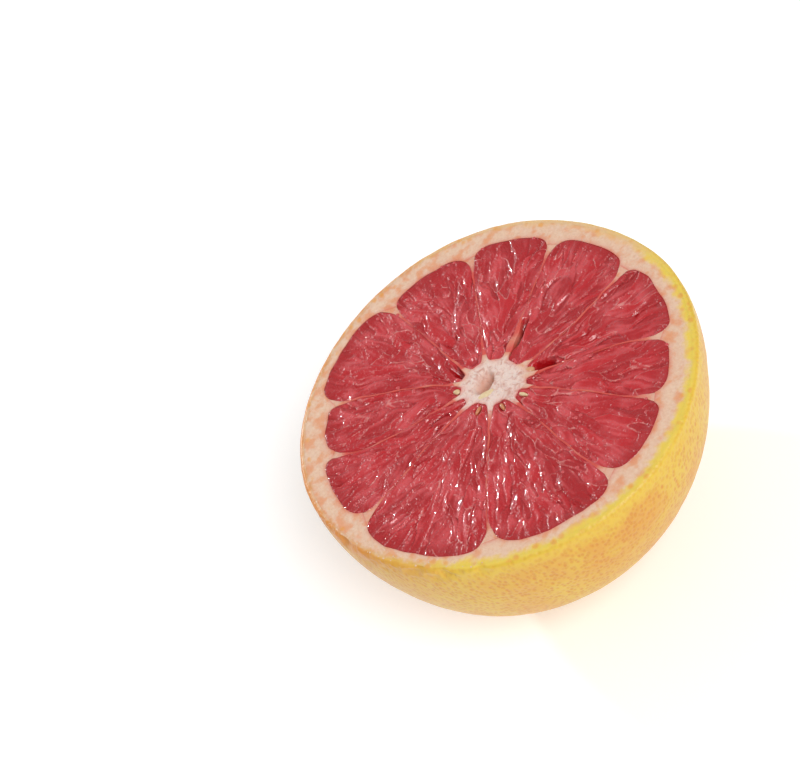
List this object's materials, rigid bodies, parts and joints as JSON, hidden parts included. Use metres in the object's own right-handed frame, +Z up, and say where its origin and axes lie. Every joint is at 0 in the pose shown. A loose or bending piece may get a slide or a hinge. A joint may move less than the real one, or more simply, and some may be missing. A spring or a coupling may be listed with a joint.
{
  "type": "half pomelo",
  "caption": "Half citrus fruit cut across its segments, resting on its round end with the cut face up; thin yellow zest, pale pith, red juicy pulp.",
  "frame": {"origin": "centre of the small flat spot under the round end, where the fruit rests", "axes": "+Z up, square to the cut face; +X to the right in the picture's view before the camera's roll"},
  "size_m": [0.1063, 0.1045, 0.0551],
  "materials": {
    "zest": "waxy dimpled citrus skin, yellow, orange where it faced the sun",
    "pith": "matt spongy pith, cream white with a pink tint",
    "pulp": "wet translucent juice sacs, red",
    "seed": "cream seed coat, satin"
  },
  "bodies": {
    "root": {"zest": "zest", "pith": "pith", "pulp_01": "pulp", "pulp_02": "pulp", "pulp_03": "pulp", "pulp_04": "pulp", "pulp_05": "pulp", "pulp_06": "pulp", "pulp_07": "pulp", "pulp_08": "pulp", "pulp_09": "pulp", "pulp_10": "pulp", "pulp_11": "pulp", "seed_1": "seed", "seed_2": "seed", "seed_3": "seed", "seed_4": "seed", "seed_5": "seed"}
  },
  "joints": []
}
